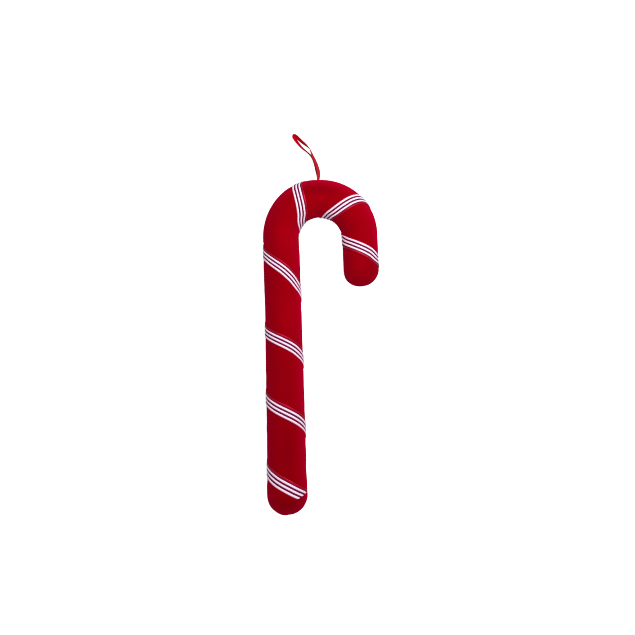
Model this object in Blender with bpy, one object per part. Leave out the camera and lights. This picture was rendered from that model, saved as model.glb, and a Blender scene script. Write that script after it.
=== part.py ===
"""A candy cane hanging decoration: a padded rod covered in red velvet and bent into a crook, wound
with one striped ribbon, with a narrow ribbon loop at the top to hang it by.

It lies on its back: X runs across the crook from the shaft to the short arm, Y runs up the shaft
from the foot to the crook, and Z is up. Units are metres and radians, unless a name says mm or deg.
"""

import bmesh
import bpy
import numpy as np

# The rod: its centreline goes up the shaft, round the crook and down the short arm.
SHAFT_LENGTH = 0.307
CROOK_RADIUS = 0.047
ARM_LENGTH = 0.0389
ARM_SPLAY = np.radians(1.1)
SHOULDER_AT = 0.331
SHOULDER_REACH = 0.030
SHOULDER_RISE = 0.0012

# The rod's radius at distances along the centreline, from the middle of the round foot.
RADIUS_AT_MM = [0, 60, 130, 200, 300, 345, 390, 420, 456, 490]
RADIUS_MM = [24.0, 23.3, 22.7, 22.0, 21.3, 22.0, 22.7, 22.6, 21.2, 21.2]

# The wound ribbon: where along the rod its middle is, at these angles of each of its turns.
RIBBON_WIDTH = 0.016
RIBBON_THICKNESS = 0.0005
RIBBON_GAP = 0.0006
RIBBON_AT_DEG = (-60, -30, 0, 30, 60)
RIBBON_TURNS_MM = [
    (-1.8, 3.3, 10.0, 17.1, 24.8),
    (85.3, 92.5, 98.9, 105.0, 111.3),
    (167.8, 175.9, 182.4, 187.9, 192.9),
    (248.6, 260.2, 270.5, 278.8, 285.9),
    (338.5, 350.5, 356.5, 359.5, 361.2),
    (397.6, 405.4, 410.8, 414.7, 418.7),
    (458.3, 462.1, 466.9, 472.9, 480.1),
]
RIBBON_START_DEG = -51.5
RIBBON_END_DEG = 150
RIBBON_END_MM = 489

# The hanging loop's route: across, up and height above the floor in mm, and the ribbon's bank in degrees.
LOOP_WIDTH = 0.006
LOOP_THICKNESS = 0.0004
LOOP_ROOT_OFFSET = 0.0012
LOOP_ROUTE = [
    (-0.2, 1.3, 19.9, -66),
    (-0.3, 5.3, 18.9, -61),
    (-1.0, 10.9, 16.0, -50),
    (-2.1, 16.9, 11.8, -50),
    (-4.1, 23.1, 7.8, -56),
    (-6.8, 28.2, 5.0, -64),
    (-9.9, 31.8, 3.9, -76),
    (-13.5, 35.2, 3.5, -86),
    (-17.8, 38.9, 3.4, -78),
    (-21.2, 42.6, 3.3, -68),
    (-23.9, 46.3, 3.1, -59),
    (-26.0, 49.7, 2.9, -53),
    (-27.5, 52.7, 2.7, -48),
    (-27.0, 54.7, 2.6, -45),
    (-24.9, 53.9, 2.7, -48),
    (-22.2, 51.5, 2.8, -53),
    (-19.3, 48.5, 3.0, -58),
    (-15.9, 45.4, 3.1, -63),
    (-12.7, 42.4, 3.3, -76),
    (-10.2, 39.0, 3.6, -92),
    (-8.0, 34.6, 4.5, -106),
    (-5.9, 29.5, 6.6, -118),
    (-3.7, 23.9, 10.2, -126),
    (-1.7, 17.7, 14.8, -131),
    (-0.2, 11.4, 19.0, -131),
    (0.6, 5.5, 21.8, -126),
    (0.3, 1.2, 23.2, -116),
]

# Mesh fineness and the relief underneath.
SIDES = 24
SHAFT_STEPS = 52
CROOK_STEPS = 36
ARM_STEPS = 7
END_STEPS = 6
END_CAP_ANGLE = np.radians(82)
RIBBON_CELLS = 4
LOOP_STEPS = 3
UNDERPASS_HEIGHT = 0.0010
UNDERPASS_BLEND = 0.004
UNDERPASS_MARGIN = 0.0085

CROOK_SWEEP = np.pi - ARM_SPLAY
CROOK_END = SHAFT_LENGTH + CROOK_RADIUS * CROOK_SWEEP
TOTAL_LENGTH = CROOK_END + ARM_LENGTH
HALF_SIDE = np.pi / SIDES
SMALL_ANGLE = 0.001
SHARP_ANGLE = np.radians(40)


def smooth(knots, values, at):
    """A smooth curve through the knots that never overshoots them (monotone cubic)."""
    knots, values = np.asarray(knots, float), np.asarray(values, float)
    span = np.diff(knots)
    rise = np.diff(values) / span
    same_way = rise[:-1] * rise[1:] > 0
    before, after = np.where(same_way, rise[:-1], 1.0), np.where(same_way, rise[1:], 1.0)
    inner = np.where(same_way, 2 / (1 / before + 1 / after), 0.0)
    slope = np.concatenate([rise[:1], inner, rise[-1:]])
    i = np.clip(np.searchsorted(knots, at) - 1, 0, len(span) - 1)
    t = (at - knots[i]) / span[i]
    from_start = values[i] * (1 + 2 * t) * (1 - t) ** 2 + slope[i] * span[i] * t * (1 - t) ** 2
    from_end = values[i + 1] * t**2 * (3 - 2 * t) - slope[i + 1] * span[i] * t**2 * (1 - t)
    return from_start + from_end


def rod_radius(s):
    return smooth(RADIUS_AT_MM, RADIUS_MM, s * 1000) / 1000


def in_crook(s):
    return (s > SHAFT_LENGTH) & (s < CROOK_END)


def station(s):
    """The centreline at s: its point, its direction and the direction of the outer side."""
    turn = np.clip((s - SHAFT_LENGTH) / CROOK_RADIUS, 0, CROOK_SWEEP)
    run = np.minimum(s, SHAFT_LENGTH) - SHAFT_LENGTH + np.maximum(s - CROOK_END, 0)
    along = np.stack([np.sin(turn), np.cos(turn)], -1)
    outer = np.stack([-np.cos(turn), np.sin(turn)], -1)
    centre = np.array([CROOK_RADIUS, SHAFT_LENGTH])
    rise = SHOULDER_RISE * np.exp(-(((s - SHOULDER_AT) / SHOULDER_REACH) ** 2))
    point = centre + outer * (CROOK_RADIUS + rise)[..., None] + along * run[..., None]
    return point, along, outer


def surface(s, angle, lift):
    """A point lift above the rod, s along it and angle round it: 0 is the top, +90 the outer side.
    Past either end, s runs on over the round end."""
    on_line = np.clip(s, 0, TOTAL_LENGTH)
    radius = rod_radius(on_line)
    over = np.clip((s - on_line) / radius, -END_CAP_ANGLE, END_CAP_ANGLE)
    point, along, outer = station(on_line)
    ring = (radius + lift) * np.cos(over)
    plan = point + along * ((radius + lift) * np.sin(over))[..., None]
    plan = plan + outer * (ring * np.sin(angle))[..., None]
    height = radius * np.cos(HALF_SIDE) + ring * np.cos(angle)
    return np.concatenate([plan, height[..., None]], -1)


def ribbon_knots():
    """The winding angles and distances that the ribbon's middle passes through."""
    turns = 360 * np.arange(len(RIBBON_TURNS_MM))[:, None]
    degrees = (turns + RIBBON_AT_DEG).ravel()
    angles = np.radians(np.append(degrees, turns[-1] + RIBBON_END_DEG))
    return angles, np.append(RIBBON_TURNS_MM, RIBBON_END_MM) / 1000


def ribbon_middle(winding):
    """Where the ribbon's middle is at a winding angle, how fast it advances, and the stretch there."""
    knots, distances = ribbon_knots()
    s = smooth(knots, distances, winding)
    advance = (smooth(knots, distances, winding + SMALL_ANGLE) - s) / SMALL_ANGLE
    radius = rod_radius(np.clip(s, 0, TOTAL_LENGTH))
    stretch = 1 + np.where(in_crook(s), radius / CROOK_RADIUS * np.sin(winding), 0)
    return s, advance * stretch, radius, stretch


def ribbon_point(winding, across, lift):
    """A point of the ribbon, across metres from its middle square to its own direction."""
    s, advance, radius, stretch = ribbon_middle(winding)
    speed = np.hypot(advance, radius)
    moved = s + across * radius / speed / stretch
    angle = winding - across * advance / speed / radius
    return surface(moved, angle, lift)


def near_ribbon(s, angle):
    """Whether a point of the rod has the ribbon over it, or within the margin beside it."""
    knots = ribbon_knots()[0]
    near = np.zeros(np.shape(s), bool)
    for turn in range(len(RIBBON_TURNS_MM)):
        winding = angle + 2 * np.pi * turn
        middle, advance, radius, stretch = ribbon_middle(winding)
        away = np.abs(s - middle) * stretch * radius / np.hypot(advance, radius)
        near |= (away < RIBBON_WIDTH / 2 + UNDERPASS_MARGIN) & (winding < knots[-1])
    return near


def rod_rings():
    """The rod's sections, with a shallow relief underneath wherever the ribbon passes below it."""
    foot = -np.linspace(END_CAP_ANGLE, 0, END_STEPS, endpoint=False) * rod_radius(0)
    shaft = np.linspace(0, SHAFT_LENGTH, SHAFT_STEPS, endpoint=False)
    crook = np.linspace(SHAFT_LENGTH, CROOK_END, CROOK_STEPS, endpoint=False)
    arm = np.linspace(CROOK_END, TOTAL_LENGTH, ARM_STEPS, endpoint=False)
    tip = TOTAL_LENGTH + np.linspace(0, END_CAP_ANGLE, END_STEPS + 1) * rod_radius(TOTAL_LENGTH)
    s = np.concatenate([foot, shaft, crook, arm, tip])
    angle = (np.arange(SIDES) + 0.5) * 2 * np.pi / SIDES
    s, angle = np.meshgrid(s, angle, indexing="ij")
    rings = surface(s, angle, 0)
    low = near_ribbon(s, angle) & (rings[..., 2] < UNDERPASS_BLEND)
    lifted = UNDERPASS_HEIGHT + rings[..., 2] * (1 - UNDERPASS_HEIGHT / UNDERPASS_BLEND)
    rings[..., 2] = np.where(low, lifted, rings[..., 2])
    return rings


def ribbon_rings():
    """The ribbon's sections, pressed flat where the rod rests on it."""
    start = np.radians(RIBBON_START_DEG)
    end = ribbon_knots()[0][-1]
    steps = int(round((end - start) / (2 * np.pi / SIDES)))
    winding = np.linspace(start, end, steps + 1)[:, None]
    across = np.linspace(-0.5, 0.5, RIBBON_CELLS + 1)[None, :] * RIBBON_WIDTH
    outside = ribbon_point(winding, across, RIBBON_GAP + RIBBON_THICKNESS)
    inside = ribbon_point(winding, across, RIBBON_GAP)
    outside[..., 2] = np.maximum(outside[..., 2], 0)
    inside[..., 2] = np.maximum(inside[..., 2], RIBBON_THICKNESS)
    return np.concatenate([outside, inside[:, ::-1]], 1)


def route_curve(points, steps):
    """A smooth curve through the route's points (Catmull-Rom), steps pieces between each two."""
    points = np.array(points, float)
    ends = np.concatenate([[2 * points[0] - points[1]], points, [2 * points[-1] - points[-2]]])
    before, first, second, after = ends[:-3, None], ends[1:-2, None], ends[2:-1, None], ends[3:, None]
    t = (np.arange(steps) / steps)[None, :, None]
    curve = 2 * first + (second - before) * t
    curve = curve + (2 * before - 5 * first + 4 * second - after) * t**2
    curve = curve + (3 * first - 3 * second + after - before) * t**3
    return np.concatenate([curve.reshape(-1, points.shape[1]) / 2, points[-1:]])


def loop_rings():
    """The hanging loop's sections: a flat ribbon banked about its route."""
    crown = SHAFT_LENGTH + CROOK_RADIUS * np.pi / 2
    root = station(crown)[0] + [-LOOP_ROOT_OFFSET, rod_radius(crown)]
    curve = route_curve(LOOP_ROUTE, LOOP_STEPS)
    middle = curve[:, :3] / 1000
    middle[:, :2] += root
    bank = np.radians(curve[:, 3])[:, None]
    along = np.gradient(middle, axis=0)
    along /= np.linalg.norm(along, axis=1)[:, None]
    level = np.cross(along, [0, 0, 1])
    level /= np.linalg.norm(level, axis=1)[:, None]
    rising = np.cross(level, along)
    width = (np.cos(bank) * level + np.sin(bank) * rising) * LOOP_WIDTH / 2
    depth = np.cross(along, width) / (LOOP_WIDTH / 2) * LOOP_THICKNESS / 2
    upper, lower = middle + depth, middle - depth
    return np.stack([upper + width, upper - width, lower - width, lower + width], 1)


def loft(name, rings, material, collection):
    """A closed solid through rings of points; each end is closed by strips across its ring."""
    count = rings.shape[1]
    shape = bmesh.new()
    loops = [[shape.verts.new(point) for point in ring] for ring in rings]
    for low, high in zip(loops, loops[1:]):
        for i in range(count):
            shape.faces.new((low[i - 1], low[i], high[i], high[i - 1]))
    for ring in (loops[0], loops[-1]):
        for i in range(count // 2 - 1):
            shape.faces.new((ring[i], ring[i + 1], ring[count - 2 - i], ring[count - 1 - i]))
    bmesh.ops.recalc_face_normals(shape, faces=shape.faces)
    mesh = bpy.data.meshes.new(name)
    shape.to_mesh(mesh)
    shape.free()
    mesh.shade_smooth()
    mesh.set_sharp_from_angle(angle=SHARP_ANGLE)
    mesh.materials.append(material)
    piece = bpy.data.objects.new(name, mesh)
    collection.objects.link(piece)
    return piece


def fabric(name, colour, roughness):
    material = bpy.data.materials.new(name)
    material.use_nodes = True
    shader = material.node_tree.nodes["Principled BSDF"]
    shader.inputs["Base Color"].default_value = (*colour, 1)
    shader.inputs["Roughness"].default_value = roughness
    shader.inputs["Metallic"].default_value = 0
    return material


def main():
    for old in list(bpy.data.objects):
        bpy.data.objects.remove(old, do_unlink=True)
    collection = bpy.data.collections.new("candy_cane_decoration")
    bpy.context.scene.collection.children.link(collection)

    rod, ribbon, loop = rod_rings(), ribbon_rings(), loop_rings()
    both = np.concatenate([rod.reshape(-1, 3), ribbon.reshape(-1, 3)])
    middle = (both.min(0) + both.max(0)) / 2
    for rings in (rod, ribbon, loop):
        rings[..., :2] -= middle[:2]

    loft("velvet_cane", rod, fabric("red_velvet", (0.30, 0.002, 0.008), 0.9), collection)
    loft("striped_ribbon", ribbon, fabric("striped_ribbon", (0.80, 0.55, 0.60), 0.5), collection)
    loft("hanging_loop", loop, fabric("red_satin", (0.55, 0.005, 0.010), 0.35), collection)


main()
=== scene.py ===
import bpy
import numpy as np
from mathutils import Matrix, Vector


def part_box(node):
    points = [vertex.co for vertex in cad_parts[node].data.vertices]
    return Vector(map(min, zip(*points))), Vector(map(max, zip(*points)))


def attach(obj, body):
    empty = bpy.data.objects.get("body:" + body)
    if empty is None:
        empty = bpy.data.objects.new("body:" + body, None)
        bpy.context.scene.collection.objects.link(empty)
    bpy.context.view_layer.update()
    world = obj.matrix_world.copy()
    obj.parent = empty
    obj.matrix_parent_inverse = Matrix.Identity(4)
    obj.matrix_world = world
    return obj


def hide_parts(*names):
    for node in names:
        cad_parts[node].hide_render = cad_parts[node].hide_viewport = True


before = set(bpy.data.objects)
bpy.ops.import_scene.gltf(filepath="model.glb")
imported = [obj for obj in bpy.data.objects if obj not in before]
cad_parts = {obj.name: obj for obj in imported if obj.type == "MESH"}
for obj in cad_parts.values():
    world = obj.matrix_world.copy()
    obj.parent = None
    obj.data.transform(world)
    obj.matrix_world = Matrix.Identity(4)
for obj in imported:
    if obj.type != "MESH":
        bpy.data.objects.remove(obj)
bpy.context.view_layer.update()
caneBox = np.array([list(corner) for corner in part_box("velvet_cane")])
mm = 0.001


# ---- the camera, straight above

cameraSet = {
    "overMm": (-5.2, 35.3),   # the spot on the part that it looks down at
    "planeMm": 22,            # height of that spot above the floor
    "distance": 2.5,
    "lensMm": 118.1,
    "sensorMm": 36,
    "turnDeg": 1.36,          # how far the picture's up is turned from +Y towards +X
}


def makeCamera(values):
    data = bpy.data.cameras.new("camera")
    data.sensor_width = values["sensorMm"]
    data.lens = values["lensMm"]
    data.clip_start = 0.05
    data.clip_end = 50
    camera = bpy.data.objects.new("camera", data)
    x, y = np.array(values["overMm"]) * mm
    camera.location = (x, y, values["planeMm"] * mm + values["distance"])
    camera.rotation_euler = (0, 0, -np.radians(values["turnDeg"]))
    bpy.context.scene.collection.objects.link(camera)
    bpy.context.scene.camera = camera


makeCamera(cameraSet)


# ---- shared shape helpers

def smoothThrough(knots, values, at):
    # Monotone cubic: each knot's slope is the harmonic mean of the rises on its two sides, or 0 at a turn.
    knots, values = np.asarray(knots, float), np.asarray(values, float)
    span = np.diff(knots)
    rise = np.diff(values) / span
    sameWay = rise[:-1] * rise[1:] > 0
    before, after = np.where(sameWay, rise[:-1], 1.0), np.where(sameWay, rise[1:], 1.0)
    slope = np.concatenate([rise[:1], np.where(sameWay, 2 / (1 / before + 1 / after), 0.0), rise[-1:]])
    i = np.clip(np.searchsorted(knots, at) - 1, 0, len(span) - 1)
    t = (at - knots[i]) / span[i]
    fromStart = values[i] * (1 + 2 * t) * (1 - t) ** 2 + slope[i] * span[i] * t * (1 - t) ** 2
    fromEnd = values[i + 1] * t**2 * (3 - 2 * t) - slope[i + 1] * span[i] * t**2 * (1 - t)
    return fromStart + fromEnd


def bell(x, width):
    # exp(-(x/width)^2): 1 in the middle, nearly 0 two widths away.
    return np.exp(-((x / width) ** 2))


def easeStep(low, high, x):
    # 0 below low, 1 above high and 3t^2 - 2t^3 between.
    t = np.clip((x - low) / (high - low), 0, 1)
    return t * t * (3 - 2 * t)


def lumps(shape, waves, seed):
    # Soft uneven relief, about -1 to 1: the mean of sine waves that cross the grid at random slants and phases.
    random = np.random.default_rng(seed)
    u = np.linspace(0, 2 * np.pi, shape[0])[:, None]
    v = np.linspace(0, 2 * np.pi, shape[1], endpoint=False)[None, :]
    total = np.zeros(shape)
    for alongWaves, aroundWaves in waves:
        total += np.sin(alongWaves * u + aroundWaves * v + random.uniform(0, 2 * np.pi))
    return total / np.sqrt(len(waves))


def pieceFromGrid(name, points, pointed=False, uv=None, values=None):
    # A closed skin over a grid of points: rows run along the piece and columns go round it. Pointed ends close
    # on one point each, the middle of the end row. Flat ends close with one face each. values is a name and one
    # number for each grid point, kept on the mesh for the material to read.
    rows, columns = points.shape[:2]
    index = np.arange(rows * columns).reshape(rows, columns)
    beside = np.roll(index, -1, axis=1)
    quads = np.stack([index[:-1], index[1:], beside[1:], beside[:-1]], -1).reshape(-1, 4)
    vertices = points.reshape(-1, 3)
    if pointed:
        tips = points[[0, -1]].mean(axis=1)
        first, last = rows * columns, rows * columns + 1
        vertices = np.concatenate([vertices, tips])
        footFan = np.stack([np.full(columns, first), index[0], beside[0]], -1)
        tipFan = np.stack([np.full(columns, last), beside[-1], index[-1]], -1)
        ends = footFan.tolist() + tipFan.tolist()
    else:
        ends = [index[0].tolist(), index[-1, ::-1].tolist()]
    corners = vertices[quads]
    volume = np.einsum("ij,ij->", corners[:, 0], np.cross(corners[:, 1], corners[:, 2]))
    faces = quads.tolist() + ends
    if volume < 0:
        faces = [face[::-1] for face in faces]
    mesh = bpy.data.meshes.new(name)
    mesh.from_pydata(vertices, [], faces)
    mesh.shade_smooth()
    if uv is not None:
        layer = mesh.uv_layers.new(name="weave")
        corner = np.empty(len(mesh.loops), dtype=np.int32)
        mesh.loops.foreach_get("vertex_index", corner)
        layer.data.foreach_set("uv", uv.reshape(-1, 2)[corner].astype(np.float32).ravel())
    if values is not None:
        numbers = np.full(len(vertices), values[1].mean(), dtype=np.float32)
        numbers[:values[1].size] = values[1].ravel()
        mesh.attributes.new(values[0], "FLOAT", "POINT").data.foreach_set("value", numbers)
    mesh.validate()
    piece = bpy.data.objects.new(name, mesh)
    bpy.context.scene.collection.objects.link(piece)
    return piece


# ---- the rod: where its surface is

rod = {
    "shaft": 0.307,
    "crookRadius": 0.047,
    "arm": 0.0389,
    "armSplay": np.radians(1.1),
    "shoulderAt": 0.331,       # the outer side stands out a little where the shaft turns into the crook
    "shoulderReach": 0.030,
    "shoulderRise": 0.0012,
    "radiusAtMm": (0, 60, 130, 200, 300, 345, 390, 420, 456, 490),
    "radiusMm": (24.0, 23.3, 22.7, 22.0, 21.3, 22.0, 22.7, 22.6, 21.2, 21.2),
    "sunk": 0.9914,            # the middle's height above the floor, as a share of the radius
    # where the padding is fuller or thinner: along the rod (mm) and round it (degrees), how far each reaches, and
    # how much it adds (mm)
    "fuller": (
        (-31, 80, 8, 60, 0.9), (-14, 90, 12, 46, 0.8), (8, 90, 12, 45, 0.6), (30, -90, 12, 40, -0.5),
        (268, 90, 24, 45, 1.0), (356, 90, 20, 50, 1.2), (482, 90, 8, 40, -0.8), (508, -80, 12, 45, 1.3),
    ),
}
crookSweep = np.pi - rod["armSplay"]
crookEnd = rod["shaft"] + rod["crookRadius"] * crookSweep
rodLength = crookEnd + rod["arm"]


def rodRadius(s):
    return smoothThrough(rod["radiusAtMm"], rod["radiusMm"], s / mm) * mm


def rodMiddle(s):
    # Straight up the shaft, round the crook's arc, then straight down the arm, pushed outwards by a bell at the
    # shoulder. Gives the point, the direction along and the direction to the outer side, in the plane of the floor.
    turn = np.clip((s - rod["shaft"]) / rod["crookRadius"], 0, crookSweep)
    run = np.minimum(s, rod["shaft"]) - rod["shaft"] + np.maximum(s - crookEnd, 0)
    along = np.stack([np.sin(turn), np.cos(turn)], -1)
    outer = np.stack([-np.cos(turn), np.sin(turn)], -1)
    rise = rod["shoulderRise"] * bell(s - rod["shoulderAt"], rod["shoulderReach"])
    centre = np.array([rod["crookRadius"], rod["shaft"]])
    return centre + outer * (rod["crookRadius"] + rise)[..., None] + along * run[..., None], along, outer


def onRod(s, angle, lift, place=(0, 0)):
    # The point at s along the rod and angle round it (0 the top, 90 degrees the outer side), lift above the skin:
    # middle + (radius + lift) * (cos over * (outer * sin angle + up * cos angle) + along * sin over), where over
    # is 0 on the rod and runs to 90 degrees over each round end.
    onLine = np.clip(s, 0, rodLength)
    radius = rodRadius(onLine)
    over = np.clip((s - onLine) / radius, -np.pi / 2, np.pi / 2)
    middle, along, outer = rodMiddle(onLine)
    ring = (radius + lift) * np.cos(over)
    plan = middle + place + along * ((radius + lift) * np.sin(over))[..., None]
    plan = plan + outer * (ring * np.sin(angle))[..., None]
    return np.concatenate([plan, (radius * rod["sunk"] + ring * np.cos(angle))[..., None]], -1)


def patches(s, angle, spots):
    # The sum of bells over the skin, one for each spot: amount * exp(-(along / reach)^2 - (round / reach)^2).
    total = np.zeros(np.broadcast(s, angle).shape)
    for atMm, atDeg, reachMm, reachDeg, amount in spots:
        turned = np.mod(angle - np.radians(atDeg) + np.pi, 2 * np.pi) - np.pi
        total += amount * bell(s - atMm * mm, reachMm * mm) * bell(turned, np.radians(reachDeg))
    return total


def findPlace():
    # The rod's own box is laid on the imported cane's box, middle on middle.
    s, angle = np.meshgrid(np.linspace(-0.04, rodLength + 0.04, 900), np.linspace(0, 2 * np.pi, 97), indexing="ij")
    points = onRod(s, angle, 0 * s)[..., :2].reshape(-1, 2)
    return caneBox[:, :2].mean(axis=0) - (points.min(axis=0) + points.max(axis=0)) / 2


place = findPlace()
print("rod placed at", np.round(place, 5))


def onPadding(s, angle, lift):
    # The same on the padded rod, where it lies.
    return onRod(s, angle, lift + patches(s, angle, rod["fuller"]) * mm, place)


# ---- the route of the wound ribbon

ribbonRoute = {
    # distances along the rod, in mm, where the middle rib of each turn crosses these angles
    "atDeg": (-60, -30, 0, 30, 60, 78),
    "turnsMm": (
        (-1.8, 3.3, 10.0, 17.1, 24.7, 28.8),
        (85.3, 92.5, 98.9, 105.0, 111.2, 114.7),
        (167.8, 175.9, 182.4, 187.9, 192.8, 195.6),
        (248.6, 260.2, 270.5, 278.5, 285.4, 288.6),
        (338.5, 350.5, 356.4, 359.2, 360.9, 362.4),
        (397.6, 405.4, 410.8, 414.8, 418.8, 421.6),
        (458.7, 462.6, 467.4, 473.2, 480.2, 482.6),
    ),
    "startDeg": -49.5,
    "cutSlantDeg": -2.1,       # how much sooner each mm towards the crook starts, where the ribbon is cut at the foot
    "cutReachDeg": 70,
    "endDeg": 150,             # of the last turn
    "endMm": 489,
    "pulledIn": (1.034, 0.970, 0.902, 0.855, 0.811, 0.866, 0.872),   # the width at the top of each turn, as a share
}
turnCount = len(ribbonRoute["turnsMm"])
turnStarts = 360 * np.arange(turnCount)
windingKnots = np.radians(np.append(
    (turnStarts[:, None] + ribbonRoute["atDeg"]).ravel(),
    turnStarts[-1] + ribbonRoute["endDeg"],
))
distanceKnots = np.append(np.ravel(ribbonRoute["turnsMm"]), ribbonRoute["endMm"]) * mm
windingStart = np.radians(ribbonRoute["startDeg"])
windingEnd = windingKnots[-1]


def ribbonMiddle(winding):
    # The distance along the rod at a winding angle, its rate of change on the surface, the rod's radius there and
    # how far the bend stretches the surface: 1 + bend * radius / crook radius * sin(winding), where bend eases
    # from 0 to 1 and back over the two ends of the crook.
    s = smoothThrough(windingKnots, distanceKnots, winding)
    tiny = 0.001
    rate = (smoothThrough(windingKnots, distanceKnots, winding + tiny) - s) / tiny
    radius = rodRadius(np.clip(s, 0, rodLength))
    near = 9 * mm
    bend = easeStep(rod["shaft"] - near, rod["shaft"] + near, s) * (1 - easeStep(crookEnd - near, crookEnd + near, s))
    stretch = 1 + bend * radius / rod["crookRadius"] * np.sin(winding)
    return s, rate * stretch, radius, stretch


def ribbonWidthShare(winding):
    return smoothThrough(np.radians(turnStarts), ribbonRoute["pulledIn"], np.clip(winding, 0, np.radians(turnStarts[-1])))


def onRibbon(winding, across, lift):
    # A point across metres from the ribbon's middle, measured on the rod square to the ribbon's own direction.
    s, rate, radius, stretch = ribbonMiddle(winding)
    speed = np.hypot(rate, radius)
    return onPadding(s + across * radius / speed / stretch, winding - across * rate / speed / radius, lift)


def awayFromRibbon(s, angle, middleAcross):
    # How far a spot on the rod is from the middle of the nearest turn's cloth, square to the ribbon and measured
    # as if the ribbon had its full width there.
    away = np.full(np.shape(s), 1.0)
    for turn in range(-1, turnCount):
        winding = angle + 2 * np.pi * turn
        middle, rate, radius, stretch = ribbonMiddle(np.clip(winding, windingStart, windingEnd))
        square = (s - middle) * stretch * radius / np.hypot(rate, radius) / ribbonWidthShare(winding) - middleAcross
        past = np.maximum(windingStart - winding, winding - windingEnd).clip(0) * radius
        away = np.minimum(away, np.hypot(square, past))
    return away


# ---- the hanging loop, first because the view has to hold it

loopSet = {
    "width": 0.006,
    "thick": 0.0003,
    "cupDeg": 16,              # how far its two edges curl towards the inside of the loop
    "rootBack": 0.0012,
    # from the root: across, up, height above the floor, in mm, and the bank in degrees
    "route": (
        (-0.6, -0.8, 19.9, -66), (-0.9, 5.3, 18.9, -58), (-1.6, 10.9, 16.0, -48), (-2.6, 16.9, 11.8, -48),
        (-4.4, 23.1, 7.8, -56), (-6.9, 28.2, 5.0, -64), (-9.9, 31.8, 3.9, -72), (-13.5, 35.2, 3.5, -74),
        (-17.8, 38.9, 3.4, -66), (-21.3, 42.7, 3.3, -61), (-24.4, 46.7, 3.1, -57), (-26.9, 50.4, 2.9, -52),
        (-28.5, 53.5, 2.7, -48), (-28.0, 55.5, 2.6, -45), (-25.7, 54.6, 2.7, -48), (-22.7, 52.0, 2.8, -53),
        (-19.5, 48.9, 3.0, -58), (-15.9, 45.8, 3.1, -63), (-12.4, 42.8, 3.3, -76), (-9.3, 39.2, 3.6, -92),
        (-7.2, 34.6, 4.5, -106), (-5.4, 29.5, 6.6, -118), (-3.3, 23.9, 10.2, -126), (-1.2, 17.7, 14.8, -129),
        (0.4, 11.4, 19.0, -128), (0.9, 5.5, 21.8, -124), (0.0, -0.8, 23.2, -116),
    ),
    "steps": 12,
    "columns": 9,
}


def curveThrough(points, steps):
    # Catmull-Rom through the points, with the end points mirrored past the ends.
    points = np.array(points, float)
    ends = np.concatenate([[2 * points[0] - points[1]], points, [2 * points[-1] - points[-2]]])
    before, first, second, after = ends[:-3, None], ends[1:-2, None], ends[2:-1, None], ends[3:, None]
    t = (np.arange(steps) / steps)[None, :, None]
    curve = 2 * first + (second - before) * t
    curve = curve + (2 * before - 5 * first + 4 * second - after) * t**2
    curve = curve + (3 * first - 3 * second + after - before) * t**3
    return np.concatenate([curve.reshape(-1, points.shape[1]) / 2, points[-1:]])


def makeHangingLoop(values):
    # A flat strip carried along the route: width direction = cos bank * level + sin bank * rising. Across it,
    # point = middle + width direction * half * sin(t * cup) / cup + depth direction * half * (cos(t * cup) - 1) / cup.
    crown = np.array(rod["shaft"] + rod["crookRadius"] * np.pi / 2)
    root = rodMiddle(crown)[0] + place + [-values["rootBack"], rodRadius(crown)]
    curve = curveThrough(values["route"], values["steps"])
    middle = curve[:, :3] * mm
    middle[:, :2] += root
    bank = np.radians(curve[:, 3])[:, None]
    along = np.gradient(middle, axis=0)
    step = np.linalg.norm(along, axis=1)
    along /= step[:, None]
    level = np.cross(along, [0, 0, 1])
    level /= np.linalg.norm(level, axis=1)[:, None]
    wide = np.cos(bank) * level + np.sin(bank) * np.cross(level, along)
    deep = np.cross(along, wide)
    length = np.concatenate([[0], np.cumsum(np.linalg.norm(np.diff(middle, axis=0), axis=1))])
    t = np.linspace(-1, 1, values["columns"])
    half, cup = values["width"] / 2, np.radians(values["cupDeg"])
    sideways = (half * np.sin(t * cup) / cup)[None, :, None]
    curl = (half * (np.cos(t * cup) - 1) / cup)[None, :, None]
    skin = middle[:, None] + wide[:, None] * sideways + deep[:, None] * curl
    outside = skin + deep[:, None] * values["thick"] / 2
    inside = skin - deep[:, None] * values["thick"] / 2
    points = np.concatenate([outside, inside[:, ::-1]], axis=1)
    u = np.concatenate([t, t[::-1]]) * half
    uv = np.stack(np.broadcast_arrays(u[None, :], length[:, None]), -1)
    points[..., 2] = np.maximum(points[..., 2], 0.1 * mm)
    piece = pieceFromGrid("hangingLoop", points, uv=uv)
    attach(piece, "root")
    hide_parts("hanging_loop")
    print("hanging loop", round(float(length[-1]), 4), "m long")
    return piece, middle[[0, -1]].mean(axis=0)


hangingLoop, loopRoot = makeHangingLoop(loopSet)


# ---- the velvet cane

caneSet = {
    "rows": 600,
    "columns": 150,
    "unevenMm": 0.10,          # soft lumps of the padding
    "pressedMm": 0.35,         # how deep the ribbon presses the pile
    "pressReachMm": 4.0,
    "ribbonHalfMm": 8.0,
    "ribbonMiddleMm": 0.95,
    "liftUnderMm": 1.0,        # the padding gives way where the ribbon passes below it
    "foldAt": 0.303,           # the small fold on the outer side where the bend begins
    "foldInMm": 0.55,
    "foldOutMm": 0.30,
    "dimpleMm": 0.5,           # at the loop's root
    "seed": 7,
    # spots where the pile colour is scaled lighter or darker: where along the rod (mm) and round it (degrees), how far
    # each reaches, and how much lighter or darker it leaves the pile
    "toneSpots": (
        (52, -8, 34, 20, -0.16), (138, -9, 30, 15, -0.08), (209, -11, 20, 32, 0.14), (316, -16, 16, 36, 0.13),
        (378, 28, 24, 18, -0.24), (490, 50, 15, 32, -0.24), (483, -50, 15, 26, -0.10), (-8, -18, 8, 36, -0.20),
    ),
}


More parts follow.
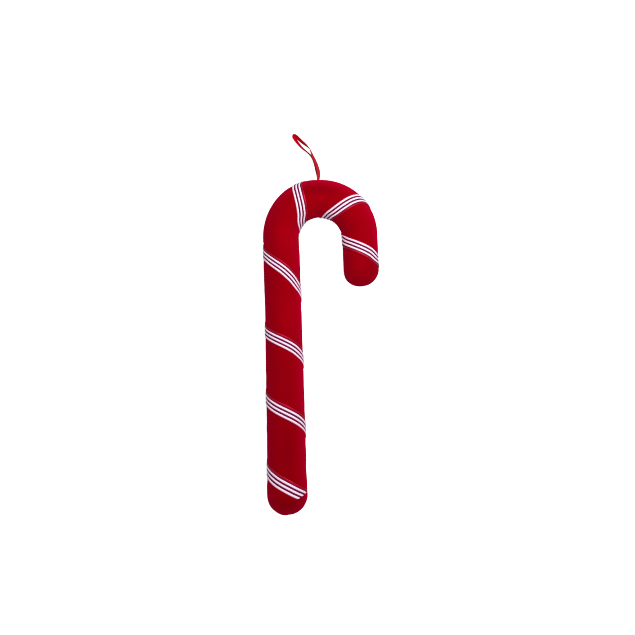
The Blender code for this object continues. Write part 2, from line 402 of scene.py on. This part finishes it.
def makeVelvetCane(values):
    # onRod with lift = lumps - press beside the ribbon + the fold - the dimple, then the underside laid on the floor:
    # height h becomes (h + b)^2 / 4b where it is within b of the floor, and 0 below that.
    cap = rodRadius(np.array(0.0)) * np.pi / 2
    tipCap = rodRadius(np.array(rodLength)) * np.pi / 2
    capRows = 36
    rows = np.concatenate([
        -cap * (1 - np.linspace(0.02, 1, capRows, endpoint=False)),
        np.linspace(0, rodLength, values["rows"] - 2 * capRows),
        rodLength + tipCap * np.linspace(1, 0.02, capRows, endpoint=False)[::-1] * 0.98,
    ])
    s, angle = np.meshgrid(rows, np.linspace(0, 2 * np.pi, values["columns"], endpoint=False), indexing="ij")
    away = awayFromRibbon(s, angle, values["ribbonMiddleMm"] * mm)
    half = values["ribbonHalfMm"] * mm
    lift = values["unevenMm"] * mm * lumps(s.shape, ((9, 1), (14, 2), (23, -1), (31, 3), (17, -2), (41, 0)), values["seed"])
    lift -= values["pressedMm"] * mm * (1 - easeStep(half - 1 * mm, half + values["pressReachMm"] * mm, away))
    outerSide = bell(np.mod(angle, 2 * np.pi) - np.radians(95), np.radians(38))
    pastFold = s - values["foldAt"]
    lift -= values["foldInMm"] * mm * outerSide * bell(pastFold + 3.2 * mm, np.where(pastFold < -3.2 * mm, 7.0, 2.0) * mm)
    lift += values["foldOutMm"] * mm * outerSide * bell(pastFold - 1.0 * mm, np.where(pastFold < 1.0 * mm, 1.0, 6.0) * mm)
    points = onPadding(s, angle, lift)
    fromRoot = np.linalg.norm(points - loopRoot, axis=-1)
    points = onPadding(s, angle, lift - values["dimpleMm"] * mm * bell(fromRoot, 4.5 * mm))
    give = 0.7 * mm
    height = points[..., 2]
    laid = np.where(height < -give, 0, np.where(height > give, height, (height + give) ** 2 / (4 * give)))
    under = values["liftUnderMm"] * mm * (1 - easeStep(half, half + 7 * mm, away)) * (1 - easeStep(0, 4.5 * mm, laid))
    points[..., 2] = laid + under
    # one number per point, 1 plus the spots, that scales the pile colour lighter or darker
    patchTone = 1 + patches(s, angle, values["toneSpots"])
    piece = pieceFromGrid("velvetCane", points, pointed=True, values=("patchTone", patchTone))
    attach(piece, "root")
    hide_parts("velvet_cane")
    return piece


velvetCane = makeVelvetCane(caneSet)
print("velvet cane", len(velvetCane.data.polygons), "faces")


# ---- the striped ribbon

ribbonSet = {
    "ribMm": 2.60,             # each of the three white ribs
    "gapMm": 2.10,             # the furrow between two ribs, its red ground painted dark as shade
    "middleMm": -0.2,          # the middle rib, from the middle of the cloth
    "lowEdgeMm": 1.0,          # the red edge on the foot's side
    "lineMm": 1.1,             # the line between the last rib and the wide red edge, painted dark as shade in the furrow colour
    "highEdgeMm": 2.4,         # the wide red edge on the crook's side
    "backMm": -0.25,           # heights above the rod: the back, the red ground and the tops of the ribs
    "groundMm": 0.20,
    "ribTopMm": 0.95,
    "edgeMm": 0.55,
    "rows": 1400,
    "flat": (0.016, 1.07),
}


def ribbonSection(values):
    # The section across: the ground, a rounded rib (1 - x^4) on each white stripe and a low swell (1 - x^2) on the
    # wide edge.
    rib, gap = values["ribMm"], values["gapMm"]
    ribs = np.array([-1, 0, 1]) * (rib + gap) + values["middleMm"]
    low = ribs[0] - rib / 2 - values["lowEdgeMm"]
    edgeStart = ribs[-1] + rib / 2 + values["lineMm"]
    high = edgeStart + values["highEdgeMm"]
    onRib = np.array([-1, -0.97, -0.9, -0.75, -0.5, -0.2, 0.2, 0.5, 0.75, 0.9, 0.97, 1]) * rib / 2
    furrows = (ribs[:-1] + ribs[1:]) / 2
    onEdge = edgeStart + np.array([0, 0.08, 0.25, 0.5, 0.75, 0.92, 1]) * values["highEdgeMm"]
    across = np.concatenate([low + np.array([0, 0.12, 0.35, 0.7]), *(middle + onRib for middle in ribs), furrows, onEdge])
    across = np.unique(np.round(across, 4))
    fromRib = np.abs(across[:, None] - ribs[None, :]).min(axis=1) / (rib / 2)
    height = values["groundMm"] + (values["ribTopMm"] - values["groundMm"]) * np.clip(1 - fromRib**4, 0, 1)
    onSwell = (across - edgeStart) / values["highEdgeMm"] * 2 - 1
    height = height + (values["edgeMm"] - values["groundMm"]) * np.clip(1 - onSwell**2, 0, 1)
    height = height + 0.18 * bell(across - low - 0.4, 0.35)
    return across, height, low, high


def makeStripedRibbon(values):
    across, height, low, high = ribbonSection(values)
    winding = np.linspace(windingStart, windingEnd, values["rows"])
    share = ribbonWidthShare(winding)[:, None]
    reach = np.radians(ribbonRoute["cutReachDeg"])
    slant = np.radians(ribbonRoute["cutSlantDeg"]) * (1 - easeStep(windingStart, windingStart + reach, winding))[:, None]
    top = onRibbon(winding[:, None] + slant * across, across * mm * share, height * mm + 0 * share)
    backAcross = np.linspace(high, low, 7)
    back = onRibbon(winding[:, None] + slant * backAcross, backAcross * mm * share, values["backMm"] * mm + 0 * share)
    floorGap = (values["ribTopMm"] - height)[None, :] * 0.6 * mm
    top[..., 2] = np.maximum(top[..., 2], floorGap)
    back[..., 2] = np.maximum(back[..., 2], 0.55 * mm)
    points = np.concatenate([top, back], axis=1)
    centre = onRibbon(winding, 0 * winding, 0 * winding)
    length = np.concatenate([[0], np.cumsum(np.linalg.norm(np.diff(centre, axis=0), axis=1))])
    u = (np.concatenate([across, backAcross]) - low) / (high - low)
    uv = np.stack(np.broadcast_arrays(u[None, :], length[:, None]), -1)
    piece = pieceFromGrid("stripedRibbon", points, uv=uv)
    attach(piece, "root")
    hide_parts("striped_ribbon")
    print("striped ribbon", round(float(length[-1]), 4), "m long,", len(piece.data.polygons), "faces")
    return piece


stripedRibbon = makeStripedRibbon(ribbonSet)


# ---- materials

def newMaterial(name, look):
    material = bpy.data.materials.new(name)
    material.use_nodes = True
    shader = material.node_tree.nodes["Principled BSDF"]
    for socket, value in look.items():
        shader.inputs[socket].default_value = value
    return material, material.node_tree, shader


def addNode(tree, kind, settings=None, inputs=None):
    made = tree.nodes.new(kind)
    for name, value in (settings or {}).items():
        setattr(made, name, value)
    for socket, value in (inputs or {}).items():
        if isinstance(value, bpy.types.NodeSocket):
            tree.links.new(value, made.inputs[socket])
        else:
            made.inputs[socket].default_value = value
    return made


def mathNode(tree, operation, first, second=0.0, clamp=False):
    return addNode(tree, "ShaderNodeMath", {"operation": operation, "use_clamp": clamp}, {0: first, 1: second}).outputs[0]


def mixColour(tree, share, first, second):
    made = addNode(tree, "ShaderNodeMix", {"data_type": "RGBA"}, {0: share, 6: first, 7: second})
    return made.outputs[2]


def noise(tree, vector, scale, detail=2.0, roughness=0.5):
    return addNode(tree, "ShaderNodeTexNoise", {}, {"Vector": vector, "Scale": scale, "Detail": detail, "Roughness": roughness}).outputs["Fac"]


def spread(tree, value, low, high, toLow=0.0, toHigh=1.0):
    made = addNode(tree, "ShaderNodeMapRange", {"clamp": True}, {0: value, 1: low, 2: high, 3: toLow, 4: toHigh})
    return made.outputs[0]


def makeThreadGroup():
    # Fine threads, from a UV map in metres: crosswise cords abs(sin(pi v / pitch)), each thread a little lighter or
    # darker than the next, and painted shade in the grooves between cords. Puts out a colour, a height and a shade
    # mask.
    tree = bpy.data.node_groups.new("threads", "ShaderNodeTree")
    for name, kind, value in (("Vector", "NodeSocketVector", None), ("Colour", "NodeSocketColor", None),
                              ("Pitch", "NodeSocketFloat", 0.0008), ("StreakAndShade", "NodeSocketFloat", 0.2)):
        socket = tree.interface.new_socket(name=name, in_out="INPUT", socket_type=kind)
        if value is not None:
            socket.default_value = value
    for name, kind in (("Colour", "NodeSocketColor"), ("Height", "NodeSocketFloat"), ("Shade", "NodeSocketFloat")):
        tree.interface.new_socket(name=name, in_out="OUTPUT", socket_type=kind)
    entry = tree.nodes.new("NodeGroupInput")
    leave = tree.nodes.new("NodeGroupOutput")
    parts = addNode(tree, "ShaderNodeSeparateXYZ", {}, {0: entry.outputs["Vector"]})
    turns = mathNode(tree, "DIVIDE", parts.outputs[1], entry.outputs["Pitch"])
    cord = mathNode(tree, "ABSOLUTE", mathNode(tree, "SINE", mathNode(tree, "MULTIPLY", turns, np.pi)))
    stretched = addNode(tree, "ShaderNodeCombineXYZ", {}, {0: mathNode(tree, "MULTIPLY", parts.outputs[0], 300.0),
                                                         1: mathNode(tree, "MULTIPLY", turns, 0.9)})
    streak = noise(tree, stretched.outputs[0], 1.0, 2.0)
    shade = mathNode(tree, "ADD", mathNode(tree, "MULTIPLY", cord, 0.35),
                     mathNode(tree, "MULTIPLY", streak, 0.65))
    # the colour is darkened where shade is low: random streaks along the threads, and painted shade in the grooves
    # between cords
    dark = mathNode(tree, "SUBTRACT", 1.0, mathNode(tree, "MULTIPLY", entry.outputs["StreakAndShade"],
                    mathNode(tree, "SUBTRACT", 1.0, shade)))
    scaled = addNode(tree, "ShaderNodeVectorMath", {"operation": "SCALE"}, {0: entry.outputs["Colour"], "Scale": dark})
    tree.links.new(scaled.outputs[0], leave.inputs["Colour"])
    tree.links.new(cord, leave.inputs["Height"])
    tree.links.new(shade, leave.inputs["Shade"])
    return tree


threads = makeThreadGroup()

velvetLook = {
    "deep": (0.223, 0.0, 0.0030, 1),
    "full": (0.305, 0.0, 0.0049, 1),
    "paintedSheen": (0.62, 0.0, 0.034, 1),    # painted sheen: the base colour turns to this where the pile is seen from the side
    "paintedSheenPower": 1.7,
    "shader": {"Roughness": 0.95, "Specular IOR Level": 0.0, "Sheen Weight": 0.2, "Sheen Roughness": 0.3,
               "Sheen Tint": (1.0, 0.0, 0.09, 1)},
}


def makeVelvet(look):
    # Brushed patches a few cm wide, clumps of a few mm and the grain of the pile, all in object coordinates.
    material, tree, shader = newMaterial("red_velvet", look["shader"])
    where = tree.nodes.new("ShaderNodeTexCoord").outputs["Object"]
    patches = noise(tree, where, 22.0, 2.0)
    clumps = noise(tree, where, 330.0, 3.0, 0.6)
    grain = noise(tree, where, 2200.0, 2.0, 0.6)
    amount = mathNode(tree, "ADD", mathNode(tree, "MULTIPLY", spread(tree, patches, 0.3, 0.7), 0.30),
                      mathNode(tree, "ADD", mathNode(tree, "MULTIPLY", spread(tree, clumps, 0.3, 0.7), 0.12),
                               mathNode(tree, "MULTIPLY", spread(tree, grain, 0.3, 0.7), 0.45)))
    # painted sheen: facing ^ power mixes the pile colour towards the brighter sheen colour at the outline
    facing = tree.nodes.new("ShaderNodeLayerWeight").outputs["Facing"]
    sideways = mathNode(tree, "POWER", facing, look["paintedSheenPower"])
    pile = mixColour(tree, amount, look["deep"], look["full"])
    # the pile colour, with its painted sheen, is scaled by the lighter or darker spot values kept on the mesh
    patchTone = addNode(tree, "ShaderNodeAttribute", {"attribute_name": "patchTone"}).outputs["Fac"]
    velvetBase = addNode(tree, "ShaderNodeVectorMath", {"operation": "SCALE"},
                      {0: mixColour(tree, sideways, pile, look["paintedSheen"]), "Scale": patchTone}).outputs[0]
    tree.links.new(velvetBase, shader.inputs["Base Color"])
    height = mathNode(tree, "ADD", grain, mathNode(tree, "MULTIPLY", clumps, 0.6))
    bump = addNode(tree, "ShaderNodeBump", {}, {"Strength": 0.35, "Distance": 0.0004, "Height": height})
    tree.links.new(bump.outputs[0], shader.inputs["Normal"])
    return material


ribbonLook = {
    "white": (0.97, 0.72, 0.91, 1),
    # painted shade: the red ground in the furrows, much darker than the red edge
    "furrowShade": (0.14, 0.0, 0.028, 1),
    "edge": (0.42, 0.003, 0.021, 1),
    "edgeGloss": 0.45,         # the red edge is satin: how much of it shines in its own red
    "edgeRoughness": 0.33,
    "shader": {"Specular IOR Level": 0.1},
}


def makeRibbonCloth(look, values):
    # Stripes across, from the UV map's first coordinate, and crosswise threads along it.
    material, tree, shader = newMaterial("striped_ribbon_cloth", look["shader"])
    _, _, low, high = ribbonSection(values)
    weave = addNode(tree, "ShaderNodeUVMap", {"uv_map": "weave"}).outputs[0]
    parts = addNode(tree, "ShaderNodeSeparateXYZ", {}, {0: weave})
    ramp = tree.nodes.new("ShaderNodeValToRGB")
    rib, pitch = values["ribMm"], values["ribMm"] + values["gapMm"]
    soft = 0.08
    # painted shade: the furrows and the line before the wide edge take the dark furrow colour
    stops = [(0.0, look["edge"])]
    for place, before in ((-pitch, "edge"), (0, "furrowShade"), (pitch, "furrowShade")):
        middle = place + values["middleMm"]
        stops += [(middle - rib / 2 - low, look[before]), (middle - rib / 2 + soft - low, look["white"]),
                  (middle + rib / 2 - soft - low, look["white"]), (middle + rib / 2 - low, look["furrowShade"])]
    edgeStart = high - low - values["highEdgeMm"]
    stops += [(edgeStart - soft, look["furrowShade"]), (edgeStart + soft, look["edge"])]
    ramp.color_ramp.elements.remove(ramp.color_ramp.elements[1])
    for position, colour in stops:
        spot = ramp.color_ramp.elements[0] if position == 0 else ramp.color_ramp.elements.new(position / (high - low))
        spot.color = colour
    tree.links.new(parts.outputs[0], ramp.inputs[0])
    across = mathNode(tree, "MULTIPLY", parts.outputs[0], (high - low) * mm)
    metres = addNode(tree, "ShaderNodeCombineXYZ", {}, {0: across, 1: parts.outputs[1]}).outputs[0]
    cloth = addNode(tree, "ShaderNodeGroup", {"node_tree": threads}, {"Vector": metres, "Colour": ramp.outputs[0],
                                                                     "Pitch": 0.0007, "StreakAndShade": 0.16})
    tree.links.new(cloth.outputs["Colour"], shader.inputs["Base Color"])
    bump = addNode(tree, "ShaderNodeBump", {}, {"Strength": 0.3, "Distance": 0.0002, "Height": cloth.outputs["Height"]})
    tree.links.new(bump.outputs[0], shader.inputs["Normal"])
    onEdge = spread(tree, parts.outputs[0], (edgeStart - soft) / (high - low), (edgeStart + soft) / (high - low))
    tree.links.new(mathNode(tree, "MULTIPLY", onEdge, look["edgeGloss"]), shader.inputs["Metallic"])
    dull = spread(tree, cloth.outputs["Shade"], 0, 1, 0.55, 0.4)
    rough = addNode(tree, "ShaderNodeMix", {"data_type": "FLOAT"}, {0: onEdge, 2: dull, 3: look["edgeRoughness"]})
    tree.links.new(rough.outputs[0], shader.inputs["Roughness"])
    return material


satinLook = {
    "red": (0.57, 0.001, 0.015, 1),
    "shader": {"Specular IOR Level": 0.15, "Metallic": 0.25},
}


def makeSatin(look):
    material, tree, shader = newMaterial("red_satin", look["shader"])
    weave = addNode(tree, "ShaderNodeUVMap", {"uv_map": "weave"}).outputs[0]
    cloth = addNode(tree, "ShaderNodeGroup", {"node_tree": threads}, {"Vector": weave, "Colour": look["red"],
                                                                     "Pitch": 0.0004, "StreakAndShade": 0.3})
    tree.links.new(cloth.outputs["Colour"], shader.inputs["Base Color"])
    tree.links.new(spread(tree, cloth.outputs["Shade"], 0, 1, 0.45, 0.28), shader.inputs["Roughness"])
    bump = addNode(tree, "ShaderNodeBump", {}, {"Strength": 0.15, "Distance": 0.0001, "Height": cloth.outputs["Height"]})
    tree.links.new(bump.outputs[0], shader.inputs["Normal"])
    return material


velvetCane.data.materials.append(makeVelvet(velvetLook))
stripedRibbon.data.materials.append(makeRibbonCloth(ribbonLook, ribbonSet))
hangingLoop.data.materials.append(makeSatin(satinLook))
print("materials made")


# ---- the floor, the light and the colours

studio = {
    "floorSide": 8.0,
    "floorColour": (0.30, 0.30, 0.30, 1),
    "floorGlow": 0.95,
    # soft lamps: where they are, how wide, how bright; all aim at the middle of the cane
    "aimAt": (0, 0.03, 0.02),
    "lamps": {
        "near": ((0.25, 0.45, 0.75), 0.5, 7.2),
        "right": ((1.2, 0.25, 0.45), 0.8, 1.6),
        "left": ((-1.2, 0.0, 0.6), 0.8, 2.2),
        "foot": ((0.2, -1.1, 0.5), 0.7, 1.5),
    },
    "fill": 0.43,
    "filterWidth": 1.0,
}


def makeStudio(values):
    # A white floor that the camera sees nearly free of shadow, soft lamps and an even room around.
    half = values["floorSide"] / 2
    mesh = bpy.data.meshes.new("floor")
    mesh.from_pydata([(-half, -half, 0), (half, -half, 0), (half, half, 0), (-half, half, 0)], [], [(0, 1, 2, 3)])
    floor = bpy.data.objects.new("floor", mesh)
    bpy.context.scene.collection.objects.link(floor)
    material, tree, shader = newMaterial("pale_floor", {"Base Color": values["floorColour"], "Roughness": 0.9,
                                                        "Specular IOR Level": 0.0, "Emission Color": (1, 1, 1, 1)})
    seen = tree.nodes.new("ShaderNodeLightPath").outputs["Is Camera Ray"]
    tree.links.new(mathNode(tree, "MULTIPLY", seen, values["floorGlow"]), shader.inputs["Emission Strength"])
    mesh.materials.append(material)
    for name, (at, size, watts) in values["lamps"].items():
        lamp = bpy.data.lights.new(name, "AREA")
        lamp.size = size
        lamp.energy = watts
        holder = bpy.data.objects.new(name, lamp)
        bpy.context.scene.collection.objects.link(holder)
        holder.location = at
        holder.rotation_euler = (Vector(values["aimAt"]) - Vector(at)).to_track_quat("-Z", "Y").to_euler()
    world = bpy.data.worlds.new("soft_room")
    world.use_nodes = True
    background = world.node_tree.nodes["Background"]
    background.inputs[0].default_value = (1, 1, 1, 1)
    background.inputs[1].default_value = values["fill"]
    bpy.context.scene.world = world
    bpy.context.scene.view_settings.view_transform = "Standard"
    bpy.context.scene.cycles.filter_width = values["filterWidth"]


makeStudio(studio)
print("studio lit")
